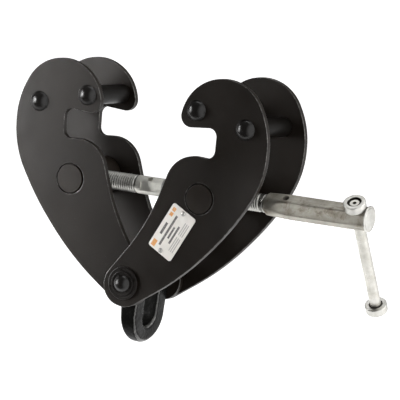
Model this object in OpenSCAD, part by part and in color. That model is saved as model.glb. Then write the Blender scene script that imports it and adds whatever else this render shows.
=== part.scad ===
// Screw-adjusted beam clamp: two hook jaws on one pivot pin, opened and closed by a spindle
// with opposite threads. X runs along the spindle towards the handle, Y along the pivot pin
// towards the back, Z up. The origin is the middle of the pivot pin's axis.

/* [Jaw plates] */
// Width over the outer jaw's plates
clamp_w = 86; // [82:1:90]
// Thickness of each jaw plate
plate_t = 6; // [5:0.5:7]
// Side gap between the outer and the inner jaw's plates
nest_gap = 0.4; // [0.3:0.1:0.8]

/* [Rivets and spacers] */
// Diameter of the rivet shanks
rivet_d = 12; // [10:0.5:13]
// Diameter of the rivets' domed heads
dome_d = 20; // [17:0.5:20.5]
// Height of the rivets' domed heads
dome_h = 6.5; // [5:0.5:7]
// Outer diameter of the spacer tubes
spacer_d = 19; // [17:0.5:19]

/* [Pivot and bow] */
// Diameter of the pivot pin
pin_d = 18; // [16:0.5:19]
// Diameter of the pivot washers
washer_d = 32; // [26:1:34]
// Width of the bow's bar along X
bow_x = 17; // [15:0.5:19]
// Thickness of the bow's legs along Y
bow_y = 17; // [14:0.5:18]
// Depth of the bow's lowest point under the pivot axis
bow_drop = 62; // [60:1:66]

/* [Spindle and nuts] */
// Outer diameter of the spindle's threads
thread_d = 18; // [16:0.5:18]
// Pitch of both threads
pitch = 2.5; // [2:0.5:3]
// Diameter of the trunnion nuts' bodies
nut_d = 38; // [34:1:40]
// Diameter of the trunnion nuts' round ends
trunnion_d = 30; // [26:1:31]

/* [Handle] */
// Width across the flats of the hexagonal handle sleeve
sleeve_af = 21.5; // [20.5:0.5:22]
// Diameter of the tommy bar
bar_d = 11; // [9:0.5:11.5]
// Diameter of the tommy bar's end caps
cap_d = 21.5; // [18:0.5:24]
// Height of the tommy bar's end caps
cap_h = 8; // [7:0.5:10]
// Clear length of the tommy bar between its caps
bar_clear = 119; // [90:1:125]

/* [Hidden] */

$fn = 96;
side_gap = 0.4;          // play between parts that turn beside each other
run_gap = 0.08;          // radial clearance of a shaft in its bore
shank_gap = 0.05;        // radial clearance of a rivet shank in its plate

// Places in the jaw's plane, for the right jaw; the left jaw mirrors them
trunnion_at = [73.7, 92.1];
tip_at = [62.3, 175.3];
back_at = [115.8, 163.4];
spindle_z = trunnion_at[1];

// Corners of the jaw plate with the radius that rounds each one
jaw_corners = [
    [-37.5, -15.5, 20.5],   // eye around the pivot, inner side
    [20, 60.5, 210],        // slack inner edge
    [44.5, 133.5, 31.5],    // belly under the flange slot
    [85.5, 131, 8],         // flange slot, lower corner
    [86, 161, 8],           // flange slot, upper corner
    [43.5, 157.5, 11],      // underside of the nose
    [50, 190, 44],          // front of the nose
    [83, 213, 46],          // crown
    [122, 201, 43],         // shoulder of the crown
    [141, 164, 80],         // back
    [140.5, 116, 92],       // lower back
    [110.5, 67.5, 275],     // long outer edge
    [65.5, 16.5, 290],      // long outer edge, lower half
    [5, -24.5, 20.5]];      // eye around the pivot, outer side

// Side positions, measured from the middle plane
outer_face = clamp_w / 2;                              // outside of the outer jaw
outer_in = outer_face - plate_t;                       // inside of the outer jaw
inner_face = outer_in - nest_gap;                      // outside of the inner jaw
inner_in = inner_face - plate_t;                       // inside of the inner jaw

// Washers and pin heads outside the outer jaw
washer_t = 2.2;
step_d = 24;
step_t = 1.2;
pin_shoulder = outer_face + 0.3;
pin_end_d = 12;
pin_dome_d = 17;
pin_dome_h = 6;

// Bow
bow_out = inner_in - 0.8;
bow_bend_z = bow_out - bow_drop;
bow_eye_r = 13;
bow_round = 3;
bow_top_x = 22;                        // width of the legs at the pivot axis

// Spindle
thread_depth = 1.35;
plain_x = [-16, 13];           // unthreaded middle
left_thread_x = -113.5;
sleeve_x = 125;
sleeve_bore_d = 15;
spigot_d = 13;                 // turned left end that holds the washer and the end stop
left_end_x = -124.5;
end_stop_x = -116.3;
handle_end_x = 165;
flat_depth = 1.4;
flat_margin = 5.5;             // round stretch left on each side of the milled flat
setting_hole_d = 5.5;

// Handle: the bar, the cross pins and two of the sleeve's flats share one direction
handle_tilt = 35;
sleeve_end_x = 231.3;
// Turned outline of the sleeve as [x, radius]; the hexagon is cut down to it
sleeve_outline = [[sleeve_x, 9.3], [126.8, 10.8], [150, 12.2], [208, 12.1], [sleeve_end_x, 11.3]];
bar_x = 220;
sleeve_pin_x = 147;
sleeve_pin_d = 6.5;
plug_t = 2.2;
plug_spigot = 4;
sleeve_ac = sleeve_af / cos(30);
cap_recess = 1.5;

// Nameplate, laid along the jaw's arm
label_at = [48.2, 56.8];
label_size = [50, 29];
label_turn = 61;
label_t = 0.8;
label_round = 2.5;
label_rivet_d = 4.8;
label_rivet_reach = 21.8;

// ---- shared outlines and shapes ----

function unit(v) = v / norm(v);

// Arc points that round the corner p between its neighbours a and b with radius r
function corner_arc(a, p, b, r, step = 5) =
    let (
        u = unit(a - p), w = unit(b - p),
        half = acos(u * w) / 2,
        centre = p + unit(u + w) * r / sin(half),
        from = p + u * r / tan(half) - centre,
        to = p + w * r / tan(half) - centre,
        start = atan2(from[1], from[0]),
        turn = (atan2(to[1], to[0]) - start + 540) % 360 - 180,
        count = max(2, ceil(abs(turn) / step)))
    [for (i = [0:count]) centre + r * [cos(start + turn * i / count), sin(start + turn * i / count)]];

function flat(p) = [p[0], p[1]];

function rounded_outline(corners) =
    let (n = len(corners))
    [for (i = [0:n - 1])
        for (q = corner_arc(flat(corners[(i + n - 1) % n]), flat(corners[i]),
                            flat(corners[(i + 1) % n]), corners[i][2])) q];

// Lays a shape drawn in XY, and extruded up, into the jaw's plane: its depth runs towards +Y
module in_jaw_plane(y) {
    translate([0, y, 0]) rotate([90, 0, 0]) mirror([0, 0, 1]) children();
}

// A solid turned about an axis parallel to Y through [x, z], starting at y and running to +Y
module along_y(at, y) {
    translate([at[0], y, at[1]]) rotate([-90, 0, 0]) children();
}

// Flat-based spherical dome that rises along +Z
module dome(d, h) {
    ball = (d * d / 4 + h * h) / (2 * h);
    intersection() {
        translate([0, 0, h - ball]) sphere(r = ball);
        cylinder(d = d + 2, h = h + 1);
    }
}

// Solid turned about the X axis of the spindle, from x0 to x1
module on_spindle(x0, x1, d) {
    translate([x0, 0, spindle_z]) rotate([0, 90, 0]) cylinder(d = d, h = x1 - x0);
}

// Solid turned about the spindle's axis from an outline of [x, radius] points
module turned_on_spindle(outline) {
    translate([0, 0, spindle_z]) rotate([0, 90, 0]) rotate([0, 0, 90])
        rotate_extrude() polygon([for (p = outline) [p[1], p[0]]]);
}

// Frame of the tommy bar: +Z runs up the bar from the spindle axis at x
module on_bar(x) {
    translate([x, 0, spindle_z]) rotate([handle_tilt, 0, 0]) children();
}

module round_rect(size, r) {
    square([size[0] - 2 * r, size[1]], center = true);
    square([size[0], size[1] - 2 * r], center = true);
    for (x = [-1, 1], y = [-1, 1])
        translate([x * (size[0] / 2 - r), y * (size[1] / 2 - r)]) circle(r = r);
}

// ---- jaws ----

module jaw_plate(y) {
    difference() {
        in_jaw_plane(y) linear_extrude(plate_t) polygon(rounded_outline(jaw_corners));
        along_y([0, 0], y - 1) cylinder(d = pin_d + 2 * run_gap, h = plate_t + 2);
        along_y(trunnion_at, y - 1) cylinder(d = trunnion_d + 2 * run_gap, h = plate_t + 2);
        for (at = [tip_at, back_at])
            along_y(at, y - 1) cylinder(d = rivet_d + 2 * shank_gap, h = plate_t + 2);
    }
}

module jaw_rivet(at, face) {
    along_y(at, -face) cylinder(d = rivet_d, h = 2 * face);
    along_y(at, face) dome(dome_d, dome_h);
    mirror([0, 1, 0]) along_y(at, face) dome(dome_d, dome_h);
}

module jaw_spacer(at, inside) {
    along_y(at, -inside)
        difference() {
            cylinder(d = spacer_d, h = 2 * inside);
            translate([0, 0, -1]) cylinder(d = rivet_d + 2 * shank_gap, h = 2 * inside + 2);
        }
}

module right_front_plate() { color("#26221f") jaw_plate(-outer_face); }
module right_rear_plate() { color("#26221f") jaw_plate(outer_in); }
module left_front_plate() { color("#3a3531") mirror([1, 0, 0]) jaw_plate(-inner_face); }
module left_rear_plate() { color("#3a3531") mirror([1, 0, 0]) jaw_plate(inner_in); }

module right_tip_rivet() { color("#141313") jaw_rivet(tip_at, outer_face); }
module right_back_rivet() { color("#141313") jaw_rivet(back_at, outer_face); }
module left_tip_rivet() { color("#141313") mirror([1, 0, 0]) jaw_rivet(tip_at, inner_face); }
module left_back_rivet() { color("#141313") mirror([1, 0, 0]) jaw_rivet(back_at, inner_face); }

module right_tip_spacer() { color("#1d1b1a") jaw_spacer(tip_at, outer_in); }
module right_back_spacer() { color("#1d1b1a") jaw_spacer(back_at, outer_in); }
module left_tip_spacer() { color("#1d1b1a") mirror([1, 0, 0]) jaw_spacer(tip_at, inner_in); }
module left_back_spacer() { color("#1d1b1a") mirror([1, 0, 0]) jaw_spacer(back_at, inner_in); }

// ---- nameplate ----

// Frame of the nameplate: +X along its length, +Z out of the jaw's face
module on_label() {
    translate([label_at[0], -outer_face, label_at[1]]) rotate([90, 0, 0]) rotate(label_turn)
        children();
}

module nameplate() {
    color("#d8d4cc") on_label()
        difference() {
            linear_extrude(label_t) round_rect(label_size, label_round);
            for (side = [-1, 1])
                translate([side * label_rivet_reach, 0, -1]) cylinder(d = 2.5, h = label_t + 2);
        }
}

module nameplate_rivets() {
    color("#b9b7b0") on_label()
        for (side = [-1, 1])
            translate([side * label_rivet_reach, 0, 0]) {
                cylinder(d = 2.4, h = label_t);
                translate([0, 0, label_t]) dome(label_rivet_d, 1.6);
            }
}

// ---- pivot ----

// Pin with a shoulder under each washer; its thinner ends are riveted over to domes
module pivot_pin() {
    reach = pin_shoulder + washer_t + step_t;
    color("#171514") {
        along_y([0, 0], -pin_shoulder) cylinder(d = pin_d, h = 2 * pin_shoulder);
        along_y([0, 0], -reach) cylinder(d = pin_end_d, h = 2 * reach);
        along_y([0, 0], reach) dome(pin_dome_d, pin_dome_h);
        mirror([0, 1, 0]) along_y([0, 0], reach) dome(pin_dome_d, pin_dome_h);
    }
}

module pivot_washer() {
    along_y([0, 0], pin_shoulder)
        difference() {
            union() {
                cylinder(d = washer_d, h = washer_t);
                cylinder(d = step_d, h = washer_t + step_t);
            }
            translate([0, 0, -1]) cylinder(d = pin_end_d + 2 * shank_gap, h = washer_t + step_t + 2);
        }
}

module front_pivot_washer() { color("#1b1918") mirror([0, 1, 0]) pivot_washer(); }
module rear_pivot_washer() { color("#1b1918") pivot_washer(); }

// Thin slice of the bow's leg, as wide as given along X
slice_t = 0.05;
module bow_slice(wide) {
    linear_extrude(slice_t) round_rect([wide, bow_y], bow_round, $fn = 32);
}

// Forged bow: an eye on each side of the middle, legs that widen up to it, and a half-round bend
module shackle_bow() {
    mid = bow_out - bow_y / 2;
    color("#0d0d0e")
        difference() {
            union() {
                for (side = [-1, 1]) {
                    along_y([0, 0], side * mid - bow_y / 2) cylinder(r = bow_eye_r, h = bow_y);
                    hull() {
                        translate([0, side * mid, bow_bend_z]) bow_slice(bow_x);
                        translate([0, side * mid, -slice_t]) bow_slice(bow_top_x);
                    }
                }
                translate([0, 0, bow_bend_z]) rotate([0, 0, 90]) rotate([-90, 0, 0])
                    rotate_extrude(angle = 180)
                        translate([mid, 0]) round_rect([bow_y, bow_x], bow_round);
            }
            along_y([0, 0], -bow_out - 1)
                cylinder(d = pin_d + 2 * run_gap, h = 2 * bow_out + 2);
        }
}

// ---- trunnion nuts ----

// Round nut body between a jaw's plates, with an end that turns in each plate's hole
module trunnion_nut(at, inside, face) {
    body = inside - side_gap;
    stub = face + 0.8;
    chamfer = 1;
    difference() {
        union() {
            along_y(at, -body) cylinder(d = nut_d, h = 2 * body);
            along_y(at, -stub + chamfer) cylinder(d = trunnion_d, h = 2 * (stub - chamfer));
            along_y(at, stub - chamfer)
                cylinder(d1 = trunnion_d, d2 = trunnion_d - 2 * chamfer, h = chamfer);
            mirror([0, 1, 0]) along_y(at, stub - chamfer)
                cylinder(d1 = trunnion_d, d2 = trunnion_d - 2 * chamfer, h = chamfer);
        }
        translate([at[0] - nut_d, 0, at[1]]) rotate([0, 90, 0])
            cylinder(d = thread_d + 2 * run_gap, h = 2 * nut_d);
    }
}

module right_trunnion_nut() { color("#1c1a19") trunnion_nut(trunnion_at, outer_in, outer_face); }
module left_trunnion_nut() {
    color("#1c1a19") mirror([1, 0, 0]) trunnion_nut(trunnion_at, inner_in, inner_face);
}

// ---- spindle ----

// Profile of ring grooves at the thread's pitch, from x0 to x1, as [x, radius] points
function thread_profile(x0, x1) =
    let (count = floor((x1 - x0) / pitch), start = x0 + (x1 - x0 - count * pitch) / 2)
    [for (i = [0:count - 1]) each [
        [start + (i + 0.08) * pitch, thread_d / 2],
        [start + (i + 0.46) * pitch, thread_d / 2 - thread_depth],
        [start + (i + 0.54) * pitch, thread_d / 2 - thread_depth],
        [start + (i + 0.92) * pitch, thread_d / 2]]];

module spindle() {
    outline = concat(
        [[left_end_x, 0], [left_end_x, spigot_d / 2 - 1], [left_end_x + 1, spigot_d / 2],
         [left_thread_x, spigot_d / 2], [left_thread_x, thread_d / 2 - thread_depth]],
        thread_profile(left_thread_x + 1, plain_x[0]),
        [[plain_x[0], thread_d / 2], [plain_x[1], thread_d / 2]],
        thread_profile(plain_x[1], sleeve_x - 1),
        [[sleeve_x, thread_d / 2 - thread_depth], [sleeve_x, sleeve_bore_d / 2 - shank_gap],
         [handle_end_x, sleeve_bore_d / 2 - shank_gap], [handle_end_x, 0]]);
    color("#b8b6ae")
        difference() {
            turned_on_spindle(outline);
            // milled flat on the plain middle
            translate([plain_x[0] + flat_margin, -thread_d, spindle_z - thread_d / 2])
                cube([plain_x[1] - plain_x[0] - 2 * flat_margin, thread_d / 2 + flat_depth, thread_d]);
            // hole for the setting pin in the plain middle
            on_bar((plain_x[0] + plain_x[1]) / 2) cylinder(d = setting_hole_d, h = thread_d);
            // holes for the cross pins
            on_bar(sleeve_pin_x) cylinder(d = sleeve_pin_d, h = 2 * thread_d, center = true);
            on_bar((left_end_x + end_stop_x) / 2) cylinder(d = 4, h = 2 * thread_d, center = true);
        }
}

// Loose washer that bears on the left nut when the clamp is fully open
module stop_washer() {
    color("#a9a79f")
        difference() {
            on_spindle(left_thread_x - 2.6, left_thread_x - 0.2, 25);
            on_spindle(left_thread_x - 4, left_thread_x + 1, spigot_d + 2 * run_gap);
        }
}

module end_stop() {
    color("#a9a79f")
        difference() {
            on_spindle(left_end_x, end_stop_x, 24);
            on_spindle(left_end_x - 1, end_stop_x + 1, spigot_d + 2 * shank_gap);
            on_bar((left_end_x + end_stop_x) / 2) cylinder(d = 4, h = 40, center = true);
        }
}

module end_stop_pin() {
    color("#8e8c86") on_bar((left_end_x + end_stop_x) / 2)
        cylinder(d = 3.9, h = 23, center = true);
}

// ---- handle ----

module handle_sleeve() {
    color("#9c978b")
        difference() {
            intersection() {
                turned_on_spindle(concat([[sleeve_x, 0]], sleeve_outline, [[sleeve_end_x, 0]]));
                on_bar(sleeve_x - 1) rotate([0, 90, 0]) rotate([0, 0, 30])
                    cylinder(d = sleeve_ac, h = sleeve_end_x - sleeve_x + 2, $fn = 6);
            }
            on_spindle(sleeve_x - 1, sleeve_end_x + 1, sleeve_bore_d);
            on_bar(sleeve_pin_x) cylinder(d = sleeve_pin_d, h = 40, center = true);
            on_bar(bar_x) cylinder(d = bar_d + 2 * run_gap, h = 40, center = true);
        }
}

module sleeve_pin() {
    color("#6f6d68") on_bar(sleeve_pin_x)
        difference() {
            cylinder(d = sleeve_pin_d - 0.1, h = sleeve_af - 4, center = true);
            cylinder(d = 3, h = sleeve_af, center = true);
        }
}

module sleeve_end_plug() {
    chamfer = 0.8;
    color("#d2d0c8") {
        on_spindle(sleeve_end_x - plug_spigot, sleeve_end_x, sleeve_bore_d - 2 * shank_gap);
        on_spindle(sleeve_end_x, sleeve_end_x + plug_t - chamfer, sleeve_ac + 0.4);
        translate([sleeve_end_x + plug_t - chamfer, 0, spindle_z]) rotate([0, 90, 0])
            cylinder(d1 = sleeve_ac + 0.4, d2 = sleeve_ac + 0.4 - 2 * chamfer, h = chamfer);
    }
}

// The bar has slid down until its upper cap rests on the sleeve
upper_cap_z = sleeve_af / 2 + side_gap;
lower_cap_z = upper_cap_z - bar_clear;

module tommy_bar() {
    color("#cfcdc5") on_bar(bar_x)
        translate([0, 0, lower_cap_z - cap_h + cap_recess])
            cylinder(d = bar_d, h = bar_clear + 2 * (cap_h - cap_recess));
}

// End cap with a bore for the bar and a chamfered outer rim, open face at z = 0
module bar_cap() {
    chamfer = 0.4;
    difference() {
        union() {
            cylinder(d = cap_d, h = cap_h - chamfer);
            translate([0, 0, cap_h - chamfer])
                cylinder(d1 = cap_d, d2 = cap_d - 2 * chamfer, h = chamfer);
        }
        translate([0, 0, -1]) cylinder(d = bar_d + 2 * shank_gap, h = cap_h + 2);
    }
}

module upper_bar_cap() {
    color("#dddbd4") on_bar(bar_x) translate([0, 0, upper_cap_z]) bar_cap();
}

module lower_bar_cap() {
    color("#dddbd4") on_bar(bar_x) translate([0, 0, lower_cap_z]) mirror([0, 0, 1]) bar_cap();
}

pivot_pin();
front_pivot_washer();
rear_pivot_washer();
shackle_bow();
right_front_plate();
right_rear_plate();
right_tip_rivet();
right_back_rivet();
right_tip_spacer();
right_back_spacer();
nameplate();
nameplate_rivets();
left_front_plate();
left_rear_plate();
left_tip_rivet();
left_back_rivet();
left_tip_spacer();
left_back_spacer();
right_trunnion_nut();
left_trunnion_nut();
stop_washer();
spindle();
end_stop();
end_stop_pin();
handle_sleeve();
sleeve_pin();
sleeve_end_plug();
tommy_bar();
upper_bar_cap();
lower_bar_cap();
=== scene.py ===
import math

import bmesh
import bpy
from mathutils import Matrix, Vector


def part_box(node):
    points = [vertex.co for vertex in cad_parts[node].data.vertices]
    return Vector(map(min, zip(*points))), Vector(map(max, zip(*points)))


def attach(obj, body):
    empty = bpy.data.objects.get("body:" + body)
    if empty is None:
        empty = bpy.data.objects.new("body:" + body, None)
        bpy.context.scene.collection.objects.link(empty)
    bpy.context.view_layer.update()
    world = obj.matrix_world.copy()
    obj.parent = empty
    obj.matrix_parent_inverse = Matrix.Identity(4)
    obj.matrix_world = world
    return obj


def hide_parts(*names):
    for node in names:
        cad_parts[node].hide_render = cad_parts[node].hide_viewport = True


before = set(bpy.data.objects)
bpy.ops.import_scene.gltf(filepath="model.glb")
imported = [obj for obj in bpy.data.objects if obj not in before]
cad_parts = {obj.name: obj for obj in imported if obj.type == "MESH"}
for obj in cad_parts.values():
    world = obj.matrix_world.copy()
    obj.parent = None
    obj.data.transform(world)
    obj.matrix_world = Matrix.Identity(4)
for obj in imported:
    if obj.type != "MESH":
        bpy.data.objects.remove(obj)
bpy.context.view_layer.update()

MM = 0.001
TURN = 2 * math.pi


# ---- places taken from the frame, in millimetres ----

def mm_box(node):
    low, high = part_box(node)
    return low / MM, high / MM


def middle(node):
    low, high = mm_box(node)
    return (low + high) / 2


RIGHT_OUT = mm_box("right_front_plate")[0].y          # outside of the right jaw's front plate
LEFT_OUT = mm_box("left_front_plate")[0].y
PLATE_T = mm_box("right_front_plate")[1].y - RIGHT_OUT
RIGHT_IN = -(RIGHT_OUT + PLATE_T)                     # inside of the right jaw, as a distance
LEFT_IN = -(LEFT_OUT + PLATE_T)
TRUNNION = middle("right_trunnion_nut")
TIP = middle("right_tip_rivet")
BACK = middle("right_back_rivet")
SPINDLE_Z = TRUNNION.z
BAR = middle("tommy_bar")
SLEEVE_X = mm_box("handle_sleeve")[0].x
SLEEVE_END = mm_box("handle_sleeve")[1].x
HANDLE_TILT = math.radians(35)                        # lean of the bar and cross pins off upright

# Sizes that the frame's boxes don't give on their own
SIDE_GAP = 0.4                                        # play between parts turning side by side
PIN_D = 18
PIN_END_D = 12                                        # turned-down ends under the pin's domes
PIN_DOME_D = 17
PIN_DOME_H = 5.95
RIVET_D = 12
DOME_D = 20
DOME_H = 6.5
HOLE_PLAY = 0.1                                       # play of a pin in its hole, on the radius
SPACER_D = 19
NUT_D = 38
TRUNNION_D = 30
BOW_BAR = 17
BOW_TOP = 22                                          # width of the bow's legs at the pivot
BOW_EYE_R = 13
THREAD_D = 18
THREAD_DEPTH = 1.35
PITCH = 2.5
PLAIN_FROM, PLAIN_TO = -16, 13                        # unthreaded middle of the spindle
PAD_MARGIN = 5.5                                      # round stretch on each side of the milled pad
PAD_DEPTH = 1.4
SETTING_HOLE_D = 5.5
LEFT_THREAD_X = -113.5
SPIGOT_D = 13
STOP_PIN_X = middle("end_stop_pin").x
STOP_PIN_D = 4
SLEEVE_AF = 21.5
SLEEVE_BORE = 15
SLEEVE_PIN_X = middle("sleeve_pin").x
SLEEVE_PIN_D = 6.5
BAR_X = BAR.x
BAR_D = 11
CAP_D = 21.5
CAP_H = 8
CAP_IN = SLEEVE_AF / 2 + SIDE_GAP                     # upper cap's inner face, from the spindle
BAR_CLEAR = 119                                       # free length of the bar between its caps
LABEL_AT = middle("nameplate")
LABEL_TURN = math.radians(61)
LABEL_SIZE = (50, 29)
LABEL_T = 0.8
LABEL_RIVET_REACH = 21.8

# Corners of a right jaw plate as (x, z, radius that rounds the corner)
JAW_CORNERS = [
    (-37.5, -15.5, 20.5), (20, 60.5, 210), (44.5, 133.5, 31.5), (85.5, 131, 8), (86, 161, 8),
    (43.5, 157.5, 11), (50, 190, 44), (83, 213, 46), (122, 201, 43), (141, 164, 80),
    (140.5, 116, 92), (110.5, 67.5, 275), (65.5, 16.5, 290), (5, -24.5, 20.5)]


# ---- frames: where a piece's own axes lie ----

def frame_at(origin, z_axis, x_hint=(1, 0, 0)):
    """Matrix that puts local +Z along z_axis, with its origin in millimetres."""
    z = Vector(z_axis).normalized()
    x = Vector(x_hint)
    x = (x - z * x.dot(z)).normalized()
    y = z.cross(x)
    turn = Matrix((x, y, z)).transposed().to_4x4()
    return Matrix.Translation(Vector(origin) * MM) @ turn


def along_y(x, z, y=0.0, towards=1):
    return frame_at((x, y, z), (0, towards, 0), (1, 0, 0))


def along_spindle(x=0.0):
    return frame_at((x, 0, SPINDLE_Z), (1, 0, 0), (0, 0, 1))


BAR_AXIS = Vector((0, -math.sin(HANDLE_TILT), math.cos(HANDLE_TILT)))


def along_bar(x, height=0.0):
    return frame_at(Vector((x, 0, SPINDLE_Z)) + BAR_AXIS * height, BAR_AXIS, (1, 0, 0))


# ---- mesh helpers ----

def make_object(name, verts, faces, matrix=None, sharp=35):
    """Mesh object from points in millimetres; edges sharper than the angle stay crisp."""
    mesh = bpy.data.meshes.new(name)
    mesh.from_pydata([Vector(v) * MM for v in verts], [], faces)
    mesh.update()
    bm = bmesh.new()
    bm.from_mesh(mesh)
    bmesh.ops.remove_doubles(bm, verts=bm.verts, dist=1e-7)
    bmesh.ops.recalc_face_normals(bm, faces=bm.faces)
    bm.to_mesh(mesh)
    bm.free()
    obj = bpy.data.objects.new(name, mesh)
    bpy.context.scene.collection.objects.link(obj)
    if matrix is not None:
        obj.matrix_world = matrix
    shade(obj, sharp)
    return obj


def shade(obj, sharp=35):
    mesh = obj.data
    mesh.polygons.foreach_set("use_smooth", [True] * len(mesh.polygons))
    mesh.set_sharp_from_angle(angle=math.radians(sharp))
    mesh.update()


def rounded(corners, step, closed=True):
    """Outline through (x, y, radius) corners, each rounded with an arc; step is in degrees."""
    count = len(corners)
    points = []
    for i, (px, py, radius) in enumerate(corners):
        p = Vector((px, py))
        if radius <= 0 or (not closed and i in (0, count - 1)):
            points.append(p)
            continue
        u = (Vector(corners[i - 1][:2]) - p).normalized()
        w = (Vector(corners[(i + 1) % count][:2]) - p).normalized()
        half = u.angle(w) / 2
        centre = p + (u + w).normalized() * radius / math.sin(half)
        reach = radius / math.tan(half)
        start = p + u * reach - centre
        end = p + w * reach - centre
        a0 = math.atan2(start.y, start.x)
        turn = (math.atan2(end.y, end.x) - a0 + math.pi) % TURN - math.pi
        arcs = max(2, math.ceil(abs(math.degrees(turn)) / step))
        for k in range(arcs + 1):
            a = a0 + turn * k / arcs
            points.append(centre + radius * Vector((math.cos(a), math.sin(a))))
    return points


def circle(cx, cy, radius, count=72):
    return [Vector((cx + radius * math.cos(TURN * i / count),
                    cy + radius * math.sin(TURN * i / count))) for i in range(count)]


SUPPORT = 0.25                                        # distance of a support point from its corner


def supported(points, closed):
    """Adds a point just inside both ends of each long straight stretch, so that smooth shading
    keeps it flat."""
    out = []
    for a, b in zip(points, points[1:] + points[:1] if closed else points[1:]):
        out.append(a)
        reach = (b - a).length
        if reach > 4 * SUPPORT:
            out += [a + (b - a) * SUPPORT / reach, b + (a - b) * SUPPORT / reach]
    return out if closed else out + [points[-1]]


def turned_ring(radius, height, count):
    return [(radius * math.cos(TURN * i / count), radius * math.sin(TURN * i / count), height)
            for i in range(count)]


def lathe(name, outline, matrix, segments=96, sharp=35):
    """Turned piece: the outline is (radius, height[, rounding]) corners, closed on the axis or on
    itself."""
    corners = [(c[0], c[1], c[2] if len(c) > 2 else 0) for c in outline]
    solid = corners[0][0] == 0 and corners[-1][0] == 0
    points = supported(rounded(corners, 15, closed=not solid), not solid)
    verts = []
    rings = []
    for p in points:
        if p.x < 1e-6:
            rings.append([len(verts)] * segments)
            verts.append((0, 0, p.y))
            continue
        rings.append([len(verts) + i for i in range(segments)])
        verts += turned_ring(p.x, p.y, segments)
    faces = []
    pairs = list(zip(rings, rings[1:]))
    if not solid:
        pairs.append((rings[-1], rings[0]))
    for low, high in pairs:
        for i in range(segments):
            j = (i + 1) % segments
            face = list(dict.fromkeys([low[i], low[j], high[j], high[i]]))
            if len(face) > 2:
                faces.append(face)
    return make_object(name, verts, faces, matrix, sharp)


def cutter(radius, length, matrix):
    """Plain cylinder that only cuts, centred on its frame."""
    half = length / 2
    return lathe("cutter", [(0, -half), (radius, -half), (radius, half), (0, half)], matrix, 64)


def cut(obj, tools, sharp=35, operation="DIFFERENCE"):
    """Applies exact booleans and removes the tools."""
    for tool in tools:
        mod = obj.modifiers.new("cut", "BOOLEAN")
        mod.operation = operation
        mod.solver = "EXACT"
        mod.object = tool
    apply_modifiers(obj)
    for tool in tools:
        bpy.data.objects.remove(tool)
    shade(obj, sharp)
    return obj


def evaluated_mesh(obj):
    bpy.context.view_layer.update()
    graph = bpy.context.evaluated_depsgraph_get()
    return bpy.data.meshes.new_from_object(obj.evaluated_get(graph))


def apply_modifiers(obj):
    mesh = evaluated_mesh(obj)
    obj.modifiers.clear()
    obj.data = mesh


def curve_plate(name, loops, thickness, bevel, matrix, steps=3):
    """Flat plate from closed loops, the first one outside and the others holes, with rounded edges.
    It lies in the frame's XY plane, centred on it in thickness. Its edges' roundings get the
    piece's second material."""
    curve = bpy.data.curves.new(name, "CURVE")
    curve.dimensions = "2D"
    curve.fill_mode = "BOTH"
    curve.extrude = (thickness / 2 - bevel) * MM
    curve.bevel_depth = bevel * MM
    curve.bevel_resolution = steps
    curve.offset = -bevel * MM
    for loop in loops:
        spline = curve.splines.new("POLY")
        spline.points.add(len(loop) - 1)
        for point, p in zip(spline.points, loop):
            point.co = (p.x * MM, p.y * MM, 0, 1)
        spline.use_cyclic_u = True
    holder = bpy.data.objects.new("holder", curve)
    bpy.context.scene.collection.objects.link(holder)
    mesh = evaluated_mesh(holder)
    bpy.data.objects.remove(holder)
    bm = bmesh.new()
    bm.from_mesh(mesh)
    bmesh.ops.remove_doubles(bm, verts=bm.verts, dist=2e-6)
    bmesh.ops.recalc_face_normals(bm, faces=bm.faces)
    for face in bm.faces:
        face.smooth = abs(face.normal.z) < 0.999
        face.material_index = 1 if 0.12 < abs(face.normal.z) < 0.999 else 0
    bm.to_mesh(mesh)
    bm.free()
    mesh.name = name
    obj = bpy.data.objects.new(name, mesh)
    bpy.context.scene.collection.objects.link(obj)
    obj.matrix_world = matrix
    return obj


# ---- node materials ----

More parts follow.
